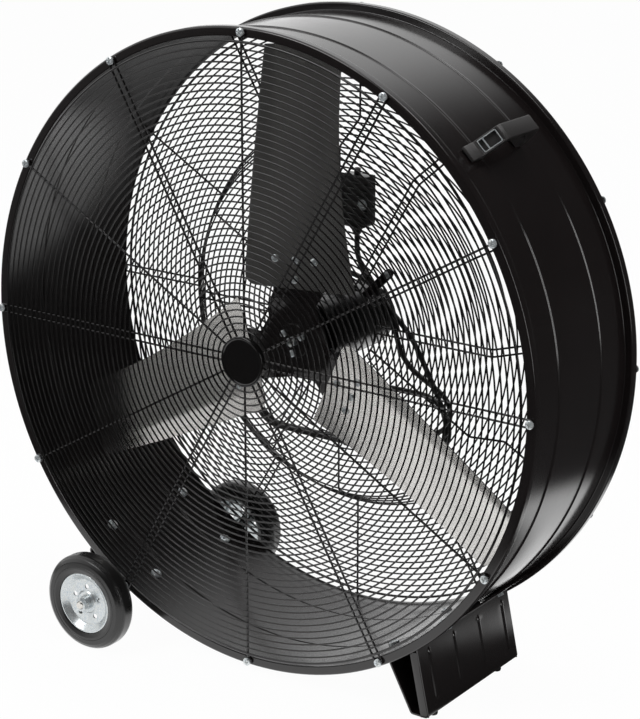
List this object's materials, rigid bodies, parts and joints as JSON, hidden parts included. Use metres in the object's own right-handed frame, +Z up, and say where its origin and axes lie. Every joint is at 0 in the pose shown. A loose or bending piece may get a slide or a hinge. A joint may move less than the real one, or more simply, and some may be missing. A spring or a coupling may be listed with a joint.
{
  "type": "drum fan",
  "caption": "Drum fan with bladed rotor between two wire guards, rear motor and control box, two wheels, a foot, a carry handle and a mains lead.",
  "frame": {"origin": "centre of the bounding box on the ground, without the mains lead", "axes": "+Z up; the drum axis is parallel to Y and the air blows towards -Y; +X is the side of the foot, -X the side of the wheels"},
  "size_m": [0.9508, 0.4286, 0.9624],
  "materials": {
    "black_powder_coat": "satin black powder coat",
    "black_wire": "semi-gloss black coated wire",
    "blade_metal": "rolled sheet, satin",
    "zinc_steel": "zinc plated, dull",
    "black_plastic": "black, fine grain",
    "black_rubber": "matt",
    "tyre_rubber": "matt black solid rubber",
    "core_steel": "laminations and bearing steel",
    "cord_sheath": "smooth black sheath"
  },
  "bodies": {
    "stand": {"drum_shell": "black_powder_coat", "badge_plate": "black_powder_coat", "motor_casing": "black_powder_coat", "motor_front_cover": "black_powder_coat", "motor_rear_cover": "black_powder_coat", "motor_mount": "black_powder_coat", "foot_channel": "black_powder_coat", "axle_bracket": "black_powder_coat", "axle_plate_front": "black_powder_coat", "axle_plate_rear": "black_powder_coat", "front_guard": "black_wire", "rear_guard": "black_wire", "guard_screw_1": "zinc_steel", "guard_screw_2": "zinc_steel", "guard_screw_3": "zinc_steel", "guard_screw_4": "zinc_steel", "guard_screw_5": "zinc_steel", "guard_screw_6": "zinc_steel", "guard_screw_7": "zinc_steel", "guard_screw_8": "zinc_steel", "guard_screw_9": "zinc_steel", "guard_screw_10": "zinc_steel", "guard_screw_11": "zinc_steel", "guard_screw_12": "zinc_steel", "box_screw": "zinc_steel", "axle": "zinc_steel", "front_hub_nut": "zinc_steel", "rear_hub_nut": "zinc_steel", "centre_badge": "black_plastic", "control_box": "black_plastic", "control_box_lid": "black_plastic", "cord_gland": "black_plastic", "carry_handle": "black_plastic", "plug": "black_plastic", "cord_tie": "black_plastic", "foot_pad_front": "black_rubber", "foot_pad_rear": "black_rubber", "stator_core": "core_steel", "front_bearing": "core_steel", "rear_bearing": "core_steel", "cord_run": "cord_sheath", "cord_hank": "cord_sheath", "cord_tail": "cord_sheath"},
    "fan": {"rotor_core": "core_steel", "motor_shaft": "zinc_steel", "fan_hub": "black_powder_coat", "blade_1": "blade_metal", "blade_2": "blade_metal", "blade_3": "blade_metal", "hub_washer": "black_powder_coat", "hub_nut": "zinc_steel", "hub_bolt_1": "zinc_steel", "hub_bolt_2": "zinc_steel", "hub_bolt_3": "zinc_steel"},
    "front_wheel": {"front_tyre": "tyre_rubber", "front_wheel_rim": "zinc_steel"},
    "rear_wheel": {"rear_tyre": "tyre_rubber", "rear_wheel_rim": "zinc_steel"},
    "speed_knob": {"speed_knob": "black_plastic"}
  },
  "joints": [
    {"name": "fan_spin", "type": "hinge", "parent": "stand", "child": "fan", "pos_m": [0, 0.07, 0.487], "axis": [0, 1, 0], "continuous": true},
    {"name": "front_wheel_spin", "type": "hinge", "parent": "stand", "child": "front_wheel", "pos_m": [-0.2513, -0.188, 0.075], "axis": [0, 1, 0], "continuous": true},
    {"name": "rear_wheel_spin", "type": "hinge", "parent": "stand", "child": "rear_wheel", "pos_m": [-0.2513, 0.188, 0.075], "axis": [0, 1, 0], "continuous": true},
    {"name": "speed_knob_turn", "type": "hinge", "parent": "stand", "child": "speed_knob", "pos_m": [0.022, 0.14, 0.683], "axis": [0, 1, 0], "range_deg": [0, 120]}
  ]
}
